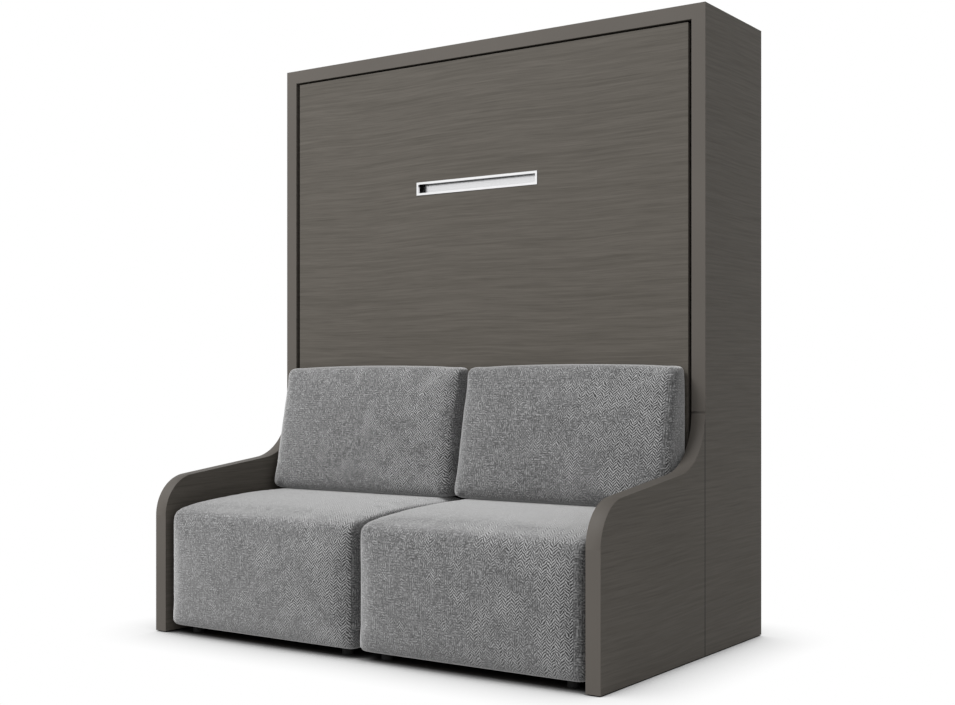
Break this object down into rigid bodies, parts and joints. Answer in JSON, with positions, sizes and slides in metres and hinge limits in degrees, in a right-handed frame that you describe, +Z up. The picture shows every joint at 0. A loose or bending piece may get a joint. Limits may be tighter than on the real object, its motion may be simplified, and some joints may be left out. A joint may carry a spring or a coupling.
{
  "type": "wall bed with sofa",
  "caption": "Wall bed in a tall cabinet that folds down over a fixed sofa with loose back cushions; recessed handle, spring-assisted pivots and a foot leg that unfolds with the bed.",
  "frame": {"origin": "centre of the whole part's footprint, on the floor", "axes": "+X along the sofa, to the right as seen from the front; +Y from the sofa towards the wall; +Z up"},
  "size_m": [1.85, 1.165, 2.16],
  "materials": {
    "board": "dark taupe-grey wood-grain foil, satin",
    "back_board": "thin light grey hardboard, matt",
    "bare_wood": "bare birch plywood, fine sanded",
    "zinc_steel": "zinc plated",
    "spring_steel": "black oxide spring wire",
    "black_rubber": "matt",
    "sofa_fabric": "grey melange twill weave",
    "polished_metal": "polished",
    "black_plastic": "matt",
    "brushed_plate": "fine brushed along its length",
    "dark_steel": "dark grey powder coat, fine texture",
    "mattress_ticking": "off-white knitted ticking",
    "strap_webbing": "dark grey webbing",
    "bush_brass": "plain turned"
  },
  "bodies": {
    "cabinet": {"side_left": "board", "side_right": "board", "top_board": "board", "back_panel_left": "back_board", "back_panel_right": "back_board", "back_strip": "back_board", "rear_rail_top": "board", "rear_rail_base": "board", "front_base_rail": "board", "glides": "black_rubber", "top_dowels": "bare_wood", "pivot_plate_left": "zinc_steel", "pivot_plate_right": "zinc_steel", "pivot_screws": "zinc_steel", "spring_anchor_left": "zinc_steel", "spring_anchor_right": "zinc_steel", "springs_left": "spring_steel", "springs_right": "spring_steel", "stop_pads": "black_rubber", "arm_left": "board", "arm_right": "board", "arm_plates": "zinc_steel", "arm_screws": "zinc_steel", "sofa_rail": "board", "seat_platform_left": "bare_wood", "seat_platform_right": "bare_wood", "seat_battens": "bare_wood", "seat_feet": "black_rubber", "seat_cushion_left": "sofa_fabric", "seat_cushion_right": "sofa_fabric"},
    "bed": {"front_panel": "board", "lower_panel": "board", "handle_frame": "polished_metal", "handle_tub": "black_plastic", "handle_plate": "brushed_plate", "side_rail_left": "board", "side_rail_right": "board", "head_rail": "board", "foot_rail": "board", "centre_beam": "dark_steel", "slats_left": "bare_wood", "slats_right": "bare_wood", "slat_holders": "black_plastic", "mattress": "mattress_ticking", "mattress_straps": "strap_webbing", "bed_lever_left": "zinc_steel", "bed_lever_right": "zinc_steel", "pivot_bushes": "bush_brass", "lever_screws": "zinc_steel", "leg_brackets": "zinc_steel", "leg_clips": "black_plastic"},
    "leg": {"leg_arm_left": "dark_steel", "leg_arm_right": "dark_steel", "leg_crossbar": "dark_steel", "leg_sleeves": "black_rubber"},
    "back_cushion_left": {"back_cushion_left": "sofa_fabric"},
    "back_cushion_right": {"back_cushion_right": "sofa_fabric"}
  },
  "joints": [
    {"name": "bed_fold", "type": "hinge", "parent": "cabinet", "child": "bed", "pos_m": [0, 0.1505, 0.526], "axis": [1, 0, 0], "range_deg": [0, 90], "deforming": ["springs_left", "springs_right"]},
    {"name": "leg_swing", "type": "hinge", "parent": "bed", "child": "leg", "pos_m": [0, 0.1885, 2.056], "axis": [1, 0, 0], "range_deg": [0, 233.44]},
    {"name": "cushion_slide_left", "type": "slide", "parent": "bed", "child": "back_cushion_left", "axis": [0, -0.2927, 0.9562], "range_m": [0, 1.02489]},
    {"name": "cushion_slide_right", "type": "slide", "parent": "bed", "child": "back_cushion_right", "axis": [0, -0.2927, 0.9562], "range_m": [0, 1.02489]}
  ],
  "couplings": [
    {"joint": "leg_swing", "follows": "bed_fold", "ratio": 2.5938},
    {"joint": "cushion_slide_left", "follows": "bed_fold", "m_per_rad": 0.65247},
    {"joint": "cushion_slide_right", "follows": "bed_fold", "m_per_rad": 0.65247}
  ]
}
